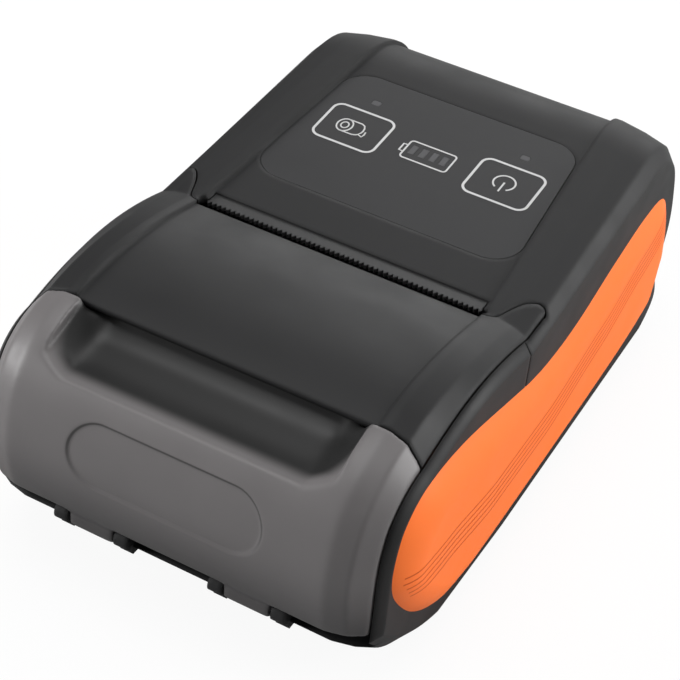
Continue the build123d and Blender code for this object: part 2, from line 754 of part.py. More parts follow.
door_near_y = battery_near_y - door_margin
door_far_y = battery_near_y + battery_length + door_margin
door_axis_y = battery_near_y - 0.6
door_axis_z = case_bottom + door_thick / 2
with BuildPart() as battery_door:
    block(-door_half, door_half, door_axis_y, door_far_y, case_bottom, case_bottom + door_thick)
    rod(door_axis_y, door_axis_z, door_thick / 2, -door_half, door_half)
    rod(door_axis_y, door_axis_z, 0.45, -door_half - 1.1, door_half + 1.1)
    for groove in range(5):
        block(-9.0, 9.0, door_far_y - 5 - groove * 1.6, door_far_y - 4.2 - groove * 1.6, 0, case_bottom + 0.4,
              mode=Mode.SUBTRACT)
save(battery_door, "battery_door")

# Main board and what stands on it
board_top = board_z + board_thick
with BuildPart() as main_board:
    block(-33.0, 33.0, 8.6, 52.0, board_z, board_top)
    block(-24.0, 24.0, 52.0, 61.5, board_z, board_top)
    for place in both_sides(board_post_places):
        post(*place, screw_radius, board_z - 1, board_top + 1, mode=Mode.SUBTRACT)
save(main_board, "main_board")

with BuildPart() as board_screws:
    for place in both_sides(board_post_places):
        post(*place, screw_radius, board_z - 5.5, board_top)
        post(*place, screw_head_radius, board_top, board_top + 1.2)
save(board_screws, "board_screws")

with BuildPart() as case_screws:
    for place in both_sides(case_screw_places):
        post(*place, screw_radius, case_bottom + 1.6, case_split + 8)
        post(*place, screw_head_radius, case_bottom + 0.4, case_bottom + 1.6)
save(case_screws, "case_screws")

with BuildPart() as usb_socket:
    block(socket_x - socket_half, socket_x + socket_half, half_length - 1.4 - socket_depth, half_length - 1.4,
          board_top, board_top + socket_height)
    block(socket_x - socket_half + 0.5, socket_x + socket_half - 0.5, half_length - 6.4, half_length,
          board_top + 0.5, board_top + socket_height - 0.5, mode=Mode.SUBTRACT)
    block(socket_x - 3.0, socket_x + 3.0, half_length - 6.4, half_length - 2.6, board_top + 1.3, board_top + 1.9)
save(usb_socket, "usb_socket")

with BuildPart() as radio_module:
    block(-24.0, -9.0, 38.0, 51.0, board_top, board_top + 2.4)
save(radio_module, "radio_module")

with BuildPart() as buzzer:
    post(-18.0, 22.0, 6.0, board_top, board_top + 4.5)
    post(-18.0, 22.0, 1.0, board_top + 3.5, board_top + 5, mode=Mode.SUBTRACT)
save(buzzer, "buzzer")

with BuildPart() as battery_contacts:
    block(-7.0, 7.0, battery_near_y - 2.9, battery_near_y - 0.3, 10.0, board_z)
    for x in (-4.5, 0.0, 4.5):
        block(x - 0.8, x + 0.8, battery_near_y - 0.3, battery_near_y, 12.0, 16.0)
save(battery_contacts, "battery_contacts")

with BuildPart() as paper_sensor:
    block(-3.0, 3.0, bay_y - 2.0, bay_y + 2.0, case_bottom + 0.9, bay_z - bay_radius - 0.1)
save(paper_sensor, "paper_sensor")

with BuildPart() as feet:
    for place in both_sides(foot_places):
        post(*place, foot_radius, 0, case_bottom + 0.5)
save(feet, "feet")

# Side panels: pillow-shaped skins over the cheeks. The outline is where a panel meets the case.
side_top = ((-61.9, 26.0), (-62.3, 32.0), (-60.6, 39.0), (-56.0, 43.2), (-49.6, 44.9), (-42.0, 45.0),
            (-33.0, 43.6), (-16.0, 39.9), (-2.0, 37.4), (12.0, 37.5), (29.5, 40.4), (45.0, 42.0),
            (56.0, 40.4), (63.6, 33.0), (67.0, 23.0))
side_low = ((67.4, 14.5), (64.6, 8.6), (58.0, 5.0), (46.0, 2.8), (30.0, 1.9), (3.0, 1.5), (-23.0, 1.5),
            (-33.0, 2.3), (-43.0, 4.8), (-52.0, 11.2), (-58.8, 19.6))
side_steps = ((cover_half + skin_gap, 0.0), (38.4, 0.0), (39.8, 1.6), (40.9, 3.6), (41.7, 5.8), (42.2, 8.4))
spine_near = (-40.0, 24.5)
spine_far = (50.0, 20.0)


def side_outline(inset):
    """Outline of a side panel, drawn in by inset towards the spine that runs along its middle."""
    points = []
    for y, z in side_top + side_low:
        share = min(max((y - spine_near[0]) / (spine_far[0] - spine_near[0]), 0), 1)
        middle_y = spine_near[0] + share * (spine_far[0] - spine_near[0])
        middle_z = spine_near[1] + share * (spine_far[1] - spine_near[1])
        run = hypot(middle_y - y, middle_z - z)
        points.append((y + (middle_y - y) * inset / run, z + (middle_z - z) * inset / run))
    with BuildLine() as line:
        Spline(*points, periodic=True)
    return line.line


for side, name in ((-1, "side_panel_left"), (1, "side_panel_right")):
    with BuildPart() as side_panel:
        for x, inset in side_steps:
            plane = Plane(origin=(side * x, side_near_y, 0), x_dir=(-side * side_taper, 1, 0),
                          z_dir=(1, side * side_taper, 0))
            with BuildSketch(plane):
                with Locations((-side_near_y, 0)):
                    add(make_face(side_outline(inset), mode=Mode.PRIVATE))
        loft(ruled=True)
        add(outer_case.part, mode=Mode.SUBTRACT)
    save(side_panel, name)
print("idler", idler_place, "pinion", pinion_place, "pivot", pivot_y, pivot_z)
print("panel tilt", panel_tilt, "door axis", door_axis_y, door_axis_z)
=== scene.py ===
# %% [markdown]
# A pocket receipt printer. The solids of the case, the cover, the gears and the keys come ready made
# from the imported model, in metres, and stay where they are. This script gives every piece its finish,
# adds what is printed, embossed or too fine for the solids, and sets the camera, the floor and the lamps.

# %% Load the printer's solids
import math
import bpy
import bmesh
from mathutils import Matrix, Vector
from mathutils.bvhtree import BVHTree


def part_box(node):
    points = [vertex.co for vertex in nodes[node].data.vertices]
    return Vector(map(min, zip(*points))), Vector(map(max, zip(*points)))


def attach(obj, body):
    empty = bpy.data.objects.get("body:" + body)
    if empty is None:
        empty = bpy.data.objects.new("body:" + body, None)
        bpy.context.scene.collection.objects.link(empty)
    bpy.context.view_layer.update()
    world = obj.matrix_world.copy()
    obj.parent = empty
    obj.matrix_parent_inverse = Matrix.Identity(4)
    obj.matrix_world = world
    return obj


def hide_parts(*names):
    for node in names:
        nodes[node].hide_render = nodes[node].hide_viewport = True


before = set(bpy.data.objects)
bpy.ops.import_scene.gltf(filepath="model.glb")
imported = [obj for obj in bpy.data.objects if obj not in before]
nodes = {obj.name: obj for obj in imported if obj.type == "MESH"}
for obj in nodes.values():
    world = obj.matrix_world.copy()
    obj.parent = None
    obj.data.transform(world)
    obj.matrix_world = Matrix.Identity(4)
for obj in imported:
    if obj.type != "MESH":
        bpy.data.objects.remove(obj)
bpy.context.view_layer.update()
MM = 0.001

# %% [markdown]
# The scene starts with the view. The photograph was taken from above the near right corner with a long
# lens, a little rolled. The camera is placed by those three angles and a distance, so that the same
# numbers can be read off and tried one at a time.

# %% Camera
PICTURE = 680
FOCAL_PIXELS = 2000.0
SENSOR_WIDTH = 36.0
AZIMUTH, ELEVATION, ROLL = math.radians(25.54), math.radians(38.73), math.radians(6.0)
EYE = Vector((126.3, -271.7, 259.0)) * MM

back = Vector((math.sin(AZIMUTH) * math.cos(ELEVATION), -math.cos(AZIMUTH) * math.cos(ELEVATION),
               math.sin(ELEVATION)))
level = Vector((math.cos(AZIMUTH), math.sin(AZIMUTH), 0))
right = (math.cos(ROLL) * level + math.sin(ROLL) * back.cross(level)).normalized()
up = back.cross(right)
lens = bpy.data.cameras.new("photo_camera")
lens.sensor_width = SENSOR_WIDTH
lens.lens = FOCAL_PIXELS / PICTURE * lens.sensor_width
lens.clip_start, lens.clip_end = 0.01, 20.0
camera = bpy.data.objects.new("photo_camera", lens)
camera.matrix_world = Matrix((
    (right.x, up.x, back.x, EYE.x),
    (right.y, up.y, back.y, EYE.y),
    (right.z, up.z, back.z, EYE.z),
    (0, 0, 0, 1)))
bpy.context.scene.collection.objects.link(camera)
bpy.context.scene.camera = camera
bpy.context.scene.view_settings.view_transform = "Standard"
print("lens", round(lens.lens, 1), "mm, distance", round(EYE.length, 3), "m")

# %% [markdown]
# Moulded plastic is not one flat colour: the tool leaves a fine grain, handling polishes some patches,
# and every corner has a small radius that catches the light. One helper builds that for all the plastic
# parts: noise for the grain, a larger noise for the gloss, and a rounded normal for the edges.

# %% Helper for finishes
def new_material(name):
    """A fresh material with its node tree and its main shader."""
    material = bpy.data.materials.new(name)
    material.use_nodes = True
    tree = material.node_tree
    return material, tree, tree.nodes["Principled BSDF"]


def add_noise(tree, size, detail=3.0, stretch=(1, 1, 1)):
    """Noise whose blobs are about size metres across, fixed to the piece."""
    where = tree.nodes.new("ShaderNodeTexCoord")
    scale = tree.nodes.new("ShaderNodeMapping")
    scale.inputs["Scale"].default_value = stretch
    noise = tree.nodes.new("ShaderNodeTexNoise")
    noise.inputs["Scale"].default_value = 1.0 / size
    noise.inputs["Detail"].default_value = detail
    tree.links.new(where.outputs["Object"], scale.inputs["Vector"])
    tree.links.new(scale.outputs["Vector"], noise.inputs["Vector"])
    return noise


def spread(tree, value, low, high):
    """Maps a noise value onto a range."""
    span = tree.nodes.new("ShaderNodeMapRange")
    span.inputs["From Min"].default_value = 0.3
    span.inputs["From Max"].default_value = 0.7
    span.inputs["To Min"].default_value = low
    span.inputs["To Max"].default_value = high
    tree.links.new(value, span.inputs["Value"])
    return span.outputs["Result"]


def tinted(tree, value, colour, change):
    """A colour that drifts a little lighter and darker with a noise value."""
    mix = tree.nodes.new("ShaderNodeMix")
    mix.data_type = "RGBA"
    mix.inputs["A"].default_value = (*[c * (1 - change) for c in colour], 1)
    mix.inputs["B"].default_value = (*[min(1, c * (1 + change)) for c in colour], 1)
    tree.links.new(value, mix.inputs["Factor"])
    return mix.outputs["Result"]


def finish(name, colour, rough, grain=0.00022, depth=0.012, edge=0.0004, drift=0.06, metal=0.0,
           stretch=(1, 1, 1), shine=0.5):
    """A moulded, cast or rolled finish with grain, uneven gloss and rounded edges."""
    gloss = 0.05
    material, tree, shader = new_material(name)
    shader.inputs["Metallic"].default_value = metal
    shader.inputs["Specular IOR Level"].default_value = shine
    patches = add_noise(tree, 0.012, 4.0)
    tree.links.new(tinted(tree, patches.outputs["Fac"], colour, drift), shader.inputs["Base Color"])
    roughness = spread(tree, patches.outputs["Fac"], rough - gloss, rough + gloss)
    tree.links.new(roughness, shader.inputs["Roughness"])
    fine = add_noise(tree, grain, 2.0, stretch)
    bump = tree.nodes.new("ShaderNodeBump")
    bump.inputs["Strength"].default_value = 0.5
    bump.inputs["Distance"].default_value = depth * MM
    tree.links.new(fine.outputs["Fac"], bump.inputs["Height"])
    if edge:
        round_edge = tree.nodes.new("ShaderNodeBevel")
        round_edge.samples = 4
        round_edge.inputs["Radius"].default_value = edge
        tree.links.new(round_edge.outputs["Normal"], bump.inputs["Normal"])
    tree.links.new(bump.outputs["Normal"], shader.inputs["Normal"])
    return material


def dress(material, *names):
    """Puts one finish on solids."""
    for name in names:
        mesh = nodes[name].data
        mesh.materials.clear()
        mesh.materials.append(material)
    print(material.name, "on", len(names), "solids")


# %% Finishes of the case
case_black = finish("case_black", (0.0145, 0.0145, 0.015), 0.56, edge=0.0014, shine=0.21)
lid_black = finish("lid_black", (0.0145, 0.0145, 0.015), 0.5, grain=0.0003, depth=0.008,
                   edge=0.0012, shine=0.2)
orange = finish("side_orange", (0.93, 0.180, 0.028), 0.52, grain=0.0003, depth=0.008,
                edge=0, drift=0.015, shine=0.18)
# darker orange for the lines along the panel grooves: painted shade standing in for the shadow inside
# each groove
groove_shade_orange = finish("groove_shade_orange", (0.58, 0.085, 0.012), 0.6, edge=0, drift=0.02, shine=0.15)
sheet_black = finish("sheet_black", (0.0205, 0.0205, 0.0215), 0.5, grain=0.00035, depth=0.016,
                     edge=0.0002, shine=0.3)
inner_black = finish("inner_black", (0.012, 0.012, 0.0125), 0.5, edge=0.0004)
print_silver = finish("print_silver", (0.48, 0.48, 0.48), 0.5, edge=0)
lamp_grey = finish("lamp_grey", (0.065, 0.065, 0.068), 0.4, edge=0, shine=0.3)
steel = finish("steel", (0.55, 0.55, 0.56), 0.28, grain=0.0001, edge=0.0001,
               metal=1.0, stretch=(0.05, 1, 1))
motor_steel = finish("motor_steel", (0.42, 0.42, 0.43), 0.36,
                     metal=1.0, stretch=(0.1, 1, 1))
brass = finish("brass", (0.75, 0.52, 0.22), 0.3, edge=0.0001, metal=1.0)
rubber = finish("rubber", (0.02, 0.02, 0.021), 0.8, grain=0.0005, depth=0.03)
gear_white = finish("gear_white", (0.78, 0.76, 0.70), 0.45, edge=0.0001)
board_green = finish("board_green", (0.01, 0.11, 0.045), 0.3, grain=0.0008, edge=0.0001)
ceramic = finish("ceramic", (0.60, 0.57, 0.52), 0.2, edge=0.0001)
heatsink = finish("heatsink", (0.7, 0.7, 0.72), 0.35, edge=0.0001, metal=1.0, stretch=(0.05, 1, 1))
battery_wrap = finish("battery_wrap", (0.02, 0.035, 0.09), 0.3)

dress(case_black, "base_case", "upper_housing")
dress(lid_black, "cover_top_plate")
dress(orange, "side_panel_left", "side_panel_right")
dress(sheet_black, "panel_overlay", "feed_key", "power_key")
dress(inner_black, "cover_frame", "mech_frame", "battery_door", "dome_switches", "buzzer",
      "paper_sensor", "tear_bar")
dress(steel, "hinge_pins", "head_pin", "platen_shaft", "motor_shaft", "gear_plate", "head_springs",
      "idler_pin", "case_screws", "board_screws", "cover_screws", "usb_socket", "radio_module")
dress(motor_steel, "stepper_motor")
dress(brass, "platen_bushes", "battery_contacts")
dress(rubber, "platen_roller", "feet")
dress(gear_white, "platen_gear", "idler_gear", "motor_pinion")
dress(board_green, "main_board", "key_board")
dress(ceramic, "thermal_head")
dress(heatsink, "head_heatsink")
dress(battery_wrap, "battery_pack")
dress(lamp_grey, "status_lights", "gauge_lights")

# %% [markdown]
# The roll cover is smoked plastic. Light goes a little way in and comes back grey-brown, so it looks
# paler than the black case. One shader holds four shares of tone:
#
# - the pale smoke, with a faint cloud in it;
# - the thumb scoop, a recess under the lid's ledge, where painted shade makes it almost black. It is the
#   only part of the shell that dips in towards the middle of the paper roll, so nearness to that finds
#   it;
# - the upper edge of the stadium-shaped recess, where a thin shadow lies;
# - the lower front, where less light gets behind the plastic.

# %% Smoked shell
ROLL_Y, ROLL_Z = -43.4, 23.2
STADIUM_Z, STADIUM_HALF, STADIUM_RADIUS = 33.0, 12.6, 6.6
STADIUM_SHADOW_RADIUS = 6.3
FRONT_Y = -62.0

smoke, tree, shader = new_material("smoke_shell")
shader.inputs["IOR"].default_value = 1.49
shader.inputs["Transmission Weight"].default_value = 0.04
shader.inputs["Specular IOR Level"].default_value = 0.35
cloud = add_noise(tree, 0.009, 5.0)
where = tree.nodes.new("ShaderNodeTexCoord")
parts = tree.nodes.new("ShaderNodeSeparateXYZ")
tree.links.new(where.outputs["Object"], parts.inputs["Vector"])


def sums(kind, first, second):
    """One step of arithmetic in the shader."""
    step = tree.nodes.new("ShaderNodeMath")
    step.operation = kind
    for socket, value in zip(step.inputs, (first, second)):
        if isinstance(value, float):
            socket.default_value = value
        else:
            tree.links.new(value, socket)
    return step.outputs["Value"]


def product(first, *others):
    """Several shares multiplied together."""
    for other in others:
        first = sums("MULTIPLY", first, other)
    return first


def span_length(one, other):
    """Length of a line from its two components."""
    return sums("SQRT", sums("ADD", product(one, one), product(other, other)), 0.0)


def rising(value, start, end):
    """0 below start, 1 above end, both in millimetres, and smooth between."""
    span = tree.nodes.new("ShaderNodeMapRange")
    span.interpolation_type = "SMOOTHSTEP"
    span.inputs["From Min"].default_value = start * MM
    span.inputs["From Max"].default_value = end * MM
    tree.links.new(value, span.inputs["Value"])
    return span.outputs["Result"]


def falling(value, start, end):
    """1 below start, 0 above end."""
    return sums("SUBTRACT", 1.0, rising(value, start, end))


def overlaid(under, colour, share):
    """A colour laid over what is there, by a share."""
    mix = tree.nodes.new("ShaderNodeMix")
    mix.data_type = "RGBA"
    mix.inputs["B"].default_value = (*colour, 1)
    tree.links.new(under, mix.inputs["A"])
    tree.links.new(share, mix.inputs["Factor"])
    return mix.outputs["Result"]


y_place, z_place = parts.outputs["Y"], parts.outputs["Z"]
aside = sums("ABSOLUTE", parts.outputs["X"], 0.0)
from_roll = span_length(sums("SUBTRACT", y_place, ROLL_Y * MM), sums("SUBTRACT", z_place, ROLL_Z * MM))
scoop_painted_shade = product(falling(from_roll, 26.2, 28.2), rising(z_place, 38.0, 42.5),
                      falling(aside, 27.5, 30.0))
past_end = sums("MAXIMUM", sums("SUBTRACT", aside, STADIUM_HALF * MM), 0.0)
from_stadium = span_length(past_end, sums("SUBTRACT", z_place, STADIUM_Z * MM))
from_edge = sums("ABSOLUTE", sums("SUBTRACT", from_stadium, STADIUM_SHADOW_RADIUS * MM), 0.0)
edge_share = product(falling(from_edge, 0.08, 0.34), sums("LESS_THAN", y_place, FRONT_Y * MM),
                     rising(z_place, 26.0, 36.0), 0.75)
low_share = product(falling(z_place, 16.0, 32.0), 0.8)

tone = tinted(tree, cloud.outputs["Fac"], (0.128, 0.121, 0.122), 0.06)
tone = overlaid(tone, (0.020, 0.019, 0.019), edge_share)
# painted shade: the thumb scoop is laid over almost black, for the shadow under the lid's ledge
tone = overlaid(tone, (0.012, 0.012, 0.012), scoop_painted_shade)
tone = overlaid(tone, (0.040, 0.038, 0.039), low_share)
tree.links.new(tone, shader.inputs["Base Color"])
tree.links.new(spread(tree, cloud.outputs["Fac"], 0.38, 0.46), shader.inputs["Roughness"])
fine = add_noise(tree, 0.00025, 2.0)
bump = tree.nodes.new("ShaderNodeBump")
bump.inputs["Strength"].default_value = 0.4
bump.inputs["Distance"].default_value = 0.01 * MM
tree.links.new(fine.outputs["Fac"], bump.inputs["Height"])
tree.links.new(bump.outputs["Normal"], shader.inputs["Normal"])
print("smoke shader:", len(tree.nodes), "nodes")

# %% [markdown]
# The solid of the shell has the right places but hard creases where its cross-sections meet. The real
# one is moulded with soft corners and has a shallow stadium-shaped recess on its front. So a copy of the
# solid is rebuilt from small cubes of space (a voxel remesh), which welds the creases, then smoothed.
# The floor of the thumb scoop is smoothed further, and the points inside the stadium are pressed in by
# a third of a millimetre.

# %% Shell with its recess
VOXEL = 0.40
PRESSED_IN, STADIUM_SLOPE = 0.35, 0.7
SCOOP_REACH, SCOOP_HALF, SCOOP_Y, SCOOP_Z = 26.3, 27.5, -46.0, 34.0


def copy_mesh(name, node):
    """A new piece with the same surface as a solid."""
    piece = bpy.data.objects.new(name, nodes[node].data.copy())
    bpy.context.scene.collection.objects.link(piece)
    return piece


def apply_modifiers(piece):
    """Turns a piece's modifiers into its mesh."""
    graph = bpy.context.evaluated_depsgraph_get()
    mesh = bpy.data.meshes.new_from_object(piece.evaluated_get(graph))
    piece.modifiers.clear()
    piece.data = mesh


def add_smoothing(piece, rounds):
    """Lets every point settle towards its neighbours, some rounds over."""
    soften = piece.modifiers.new("soften", "SMOOTH")
    soften.factor = 0.5
    soften.iterations = rounds
    return soften


shell = copy_mesh("shell_skin", "cover_shell")
remesh = shell.modifiers.new("weld", "REMESH")
remesh.mode = "VOXEL"
remesh.voxel_size = VOXEL * MM
remesh.use_smooth_shade = True
add_smoothing(shell, 14)
apply_modifiers(shell)

inside = []
for vertex in shell.data.vertices:
    x, y, z = (c / MM for c in vertex.co)
    from_middle = math.hypot(y - ROLL_Y, z - ROLL_Z)
    if abs(x) < SCOOP_HALF and y < SCOOP_Y and z > SCOOP_Z and from_middle < SCOOP_REACH:
        inside.append(vertex.index)
shell.vertex_groups.new(name="scoop").add(inside, 1.0, "REPLACE")
add_smoothing(shell, 60).vertex_group = "scoop"
apply_modifiers(shell)

pressed = 0
for vertex in shell.data.vertices:
    x, y, z = (c / MM for c in vertex.co)
    if y > FRONT_Y or z < 20.0:
        continue
    outside = math.hypot(max(abs(x) - STADIUM_HALF, 0.0), z - STADIUM_Z) - STADIUM_RADIUS
    depth = min(max(-outside / STADIUM_SLOPE, 0.0), 1.0)
    if depth > 0:
        vertex.co.y += PRESSED_IN * MM * depth * depth * (3 - 2 * depth)
        pressed += 1
shell.data.materials.clear()
shell.data.materials.append(smoke)
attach(shell, "cover")
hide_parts("cover_shell")
print("shell:", len(shell.data.polygons), "faces,", len(inside), "points in the scoop,",
      pressed, "pressed in")

# %% [markdown]
# Each orange side panel is a pillow: its outline follows the waist of the case, the rim rounds over and
# the face is almost flat, with five fine grooves that run in step along it. The solid has the pillow in a
# few straight steps. Here the same outline is drawn in ring by ring towards a spine, many rings with a
# round profile. Past the roll bay the case narrows, so the panel's back edge steps in there and its end
# stays tucked into the case. The grooves are a third of a millimetre wide and are not cut: each is a thin
# line of darker orange that a ray from outside lays on the face, a painted shade for the groove's shadow.

# %% Side panels with grooves
PANEL_TOP = ((-61.9, 26.0), (-62.2, 32.0), (-60.2, 38.4), (-55.4, 42.4), (-49.2, 43.9), (-42.0, 44.2),
             (-33.0, 43.2), (-16.0, 39.9), (-2.0, 37.4), (12.0, 37.5), (29.5, 40.4), (45.0, 42.0),
             (56.0, 40.4), (62.6, 33.0), (64.9, 23.0))
PANEL_LOW = ((63.6, 14.5), (61.4, 9.0), (58.0, 5.0), (46.0, 2.8), (30.0, 1.9), (3.0, 1.5), (-23.0, 1.5),
             (-33.0, 2.3), (-43.0, 4.8), (-52.0, 11.2), (-58.8, 19.6))
SPINE = (Vector((-40.0, 24.5)), Vector((50.0, 20.0)))
RINGS = 46
RIM_OUT, PILLOW_HEIGHT = 38.1, 4.05
ROUNDING, EXTRA_ROUNDING_UP = 7.5, 4.0
TAPER_FROM, TAPER = -65.0, 0.022
BACK_NEAR, BACK_STEP, BACK_FROM, BACK_LENGTH = 37.95, 2.2, -3.0, 13.0
WELD = 0.02

GROOVE_CENTRE = ((-59.5, 24.5), (-44.0, 22.5), (-24.0, 19.3), (0.0, 19.0), (25.0, 22.5), (45.0, 27.0),
                 (62.0, 31.0))
GROOVES, GROOVE_PITCH, GROOVE_WIDTH = 5, 1.55, 0.30
GROOVE_LIFT, GROOVE_FROM_RIM = 0.03, 2.6
GROOVE_STEPS = range(-64, 67)


def clamped(value):
    """A number held between 0 and 1."""
    return min(max(value, 0.0), 1.0)


def smooth_loop(points, per_span):
    """Points along a smooth closed curve through the given ones."""
    result, count = [], len(points)
    for i in range(count):
        p0, p1, p2, p3 = (Vector(points[(i + k) % count]) for k in (-1, 0, 1, 2))
        for k in range(per_span):
            t = k / per_span
            result.append(0.5 * (2 * p1 + (p2 - p0) * t + (2 * p0 - 5 * p1 + 4 * p2 - p3) * t ** 2
                                 + (3 * p1 - p0 - 3 * p2 + p3) * t ** 3))
    return result


def groove_height(y):
    """Height of the middle groove at a place along the panel."""
    if y <= GROOVE_CENTRE[0][0]:
        return GROOVE_CENTRE[0][1]
    for (y0, z0), (y1, z1) in zip(GROOVE_CENTRE, GROOVE_CENTRE[1:]):
        if y <= y1:
            t = (y - y0) / (y1 - y0)
            return z0 + (z1 - z0) * (t * t * (3 - 2 * t) * 0.5 + t * 0.5)
    return GROOVE_CENTRE[-1][1]


def face_depth(inset, upper):
    """How far out the pillow stands, this far in from its outline; its upper edge rounds over wider."""
    reach = min(inset / (ROUNDING + EXTRA_ROUNDING_UP * upper), 1.0)
    return RIM_OUT + PILLOW_HEIGHT * (1 - (1 - reach) ** 1.9) ** 0.82


def mesh_piece(name, mesh, material):
    """A piece in the scene from a mesh that was built point by point."""
    data = bpy.data.meshes.new(name)
    mesh.to_mesh(data)
    mesh.free()
    data.materials.append(material)
    piece = bpy.data.objects.new(name, data)
    bpy.context.scene.collection.objects.link(piece)
    return piece


outline = smooth_loop(PANEL_TOP + PANEL_LOW, 10)


def side_skin(name, side, node):
    """One pillow panel, built ring by ring from its outline to its spine."""
    mesh = bmesh.new()
    rings = []
    for ring in range(RINGS + 1):
        share = ring / RINGS
        verts = []
        for point in outline:
            t = clamped((point.x - SPINE[0].x) / (SPINE[1].x - SPINE[0].x))
            middle = SPINE[0].lerp(SPINE[1], t)
            place = point.lerp(middle, share)
            upper = clamped((point.y - middle.y) / 15.0) if share < 1 else 0.0
            x = side * (face_depth((place - point).length, upper) - TAPER * (place.x - TAPER_FROM))
            verts.append(mesh.verts.new((x * MM, place.x * MM, place.y * MM)))
        rings.append(verts)
    back_ring = []
    for vert in rings[0]:
        behind = BACK_NEAR - BACK_STEP * clamped((vert.co.y / MM - BACK_FROM) / BACK_LENGTH)
        back_ring.append(mesh.verts.new((side * behind * MM, vert.co.y, vert.co.z)))
    rings.insert(0, back_ring)
    count = len(outline)
    for outer, inner in zip(rings, rings[1:]):
        for k in range(count):
            quad = (outer[k], outer[(k + 1) % count], inner[(k + 1) % count], inner[k])
            mesh.faces.new(quad if side < 0 else quad[::-1])
    bmesh.ops.remove_doubles(mesh, verts=mesh.verts, dist=WELD * MM)
    bmesh.ops.recalc_face_normals(mesh, faces=mesh.faces)
    piece = mesh_piece(name, mesh, orange)
    for face in piece.data.polygons:
        face.use_smooth = True
    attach(piece, "base")
    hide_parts(node)
    print(name, len(piece.data.polygons), "faces")
    return piece.data


def groove_lines(name, side, skin):
    """Thin lines of painted shade laid on a panel: where each crosses the face is found by a ray from
    outside.
    """
    face = BVHTree.FromPolygons([v.co for v in skin.vertices], [f.vertices for f in skin.polygons])
    inward = Vector((-side, 0, 0))
    mesh = bmesh.new()
    for line in range(GROOVES):
        before = None
        for y in GROOVE_STEPS:
            height = groove_height(y) + (line - GROOVES // 2) * GROOVE_PITCH
            if min((Vector((y, height)) - point).length for point in outline) <= GROOVE_FROM_RIM:
                before = None
                continue
            row = []
            for offset in (-0.5, 0.0, 0.5):
                start = Vector((side * 60.0, y, height + offset * GROOVE_WIDTH)) * MM
                hit = face.ray_cast(start, inward)[0]
                if hit:
                    row.append(hit - inward * GROOVE_LIFT * MM)
            row = [mesh.verts.new(place) for place in row] if len(row) == 3 else None
            if before and row:
                for k in range(2):
                    mesh.faces.new((before[k], row[k], row[k + 1], before[k + 1]))
            before = row
    loose = [v for v in mesh.verts if not v.link_faces]
    bmesh.ops.delete(mesh, geom=loose, context="VERTS")
    piece = mesh_piece(name, mesh, groove_shade_orange)
    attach(piece, "base")
    print(name, len(piece.data.polygons), "faces")


groove_lines("groove_shade_right", 1, side_skin("side_skin_right", 1, "side_panel_right"))
groove_lines("groove_shade_left", -1, side_skin("side_skin_left", -1, "side_panel_left"))

# %% [markdown]
# The key panel is a printed sheet: silver lines about half a millimetre wide on black. Each line is a
# thin ribbon of ink that lies on the sheet, so it stays sharp at any distance and moves with its key.
# The outlines cover the hairline gap round each key area, as ink does on the real sheet.

# %% Printed lines on the key panel
TILT = math.radians(5.5544)
SLOT_Y, SLOT_Z, SHEET_DEPTH = -11.5, 46.8, 0.8
INK, UNDER_INK = 0.03, -0.02
OUTLINE_WIDTH, LINE_WIDTH = 0.5, 0.34
ROLL_LINE = 0.3
inked = []


def on_sheet(x, y, lift):
    """A point on the sheet, in metres, from millimetres across and along."""
    z = SLOT_Z + (y - SLOT_Y) * math.tan(TILT) + (lift - SHEET_DEPTH) / math.cos(TILT)
    return Vector((x, y, z)) * MM


def ink_line(name, points, width, body, closed=True):
    """A ribbon of ink of even width along a line drawn on the sheet."""
    mesh = bmesh.new()
    count = len(points)
    edges = []
    for i in range(count):
        before = Vector(points[i - 1 if closed else max(i - 1, 0)])
        after = Vector(points[(i + 1) % count if closed else min(i + 1, count - 1)])
        here = Vector(points[i])
        along = (after - before).normalized()
        across = Vector((-along.y, along.x)) * width / 2
        edges.append([mesh.verts.new(on_sheet(*(here + sign * across), lift))
                      for sign, lift in ((-1, UNDER_INK), (-1, INK), (1, INK), (1, UNDER_INK))])
    for i in range(count if closed else count - 1):
        one, two = edges[i], edges[(i + 1) % count]
        for k in range(3):
            mesh.faces.new((one[k], two[k], two[k + 1], one[k + 1]))
    if not closed:
        mesh.faces.new(edges[0])
        mesh.faces.new(edges[-1])
    bmesh.ops.recalc_face_normals(mesh, faces=mesh.faces)
    piece = mesh_piece(name, mesh, print_silver)
    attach(piece, body)
    inked.append(name)


def round_box(x, y, half_x, half_y, corner, steps=8):
    """Outline of a box with rounded corners."""
    points = []
    for cx, cy, start in ((1, 1, 0), (-1, 1, 90), (-1, -1, 180), (1, -1, 270)):
        for k in range(steps + 1):
            turn = math.radians(start + 90 * k / steps)
            points.append((x + cx * (half_x - corner) + corner * math.cos(turn),
                           y + cy * (half_y - corner) + corner * math.sin(turn)))
    return points


def arc(x, y, radius_x, radius_y, start, end, steps=28):
    """Points along part of an ellipse."""
    turns = (math.radians(start + (end - start) * k / steps) for k in range(steps + 1))
    return [(x + radius_x * math.cos(t), y + radius_y * math.sin(t)) for t in turns]


KEY_X, KEY_Y, KEY_HALF_X, KEY_HALF_Y, KEY_CORNER = 16.2, 22.7, 6.6, 5.6, 1.9
for name, x in (("feed_outline", -KEY_X), ("power_outline", KEY_X)):
    ink_line(name, round_box(x, KEY_Y, KEY_HALF_X, KEY_HALF_Y, KEY_CORNER), OUTLINE_WIDTH, "base")

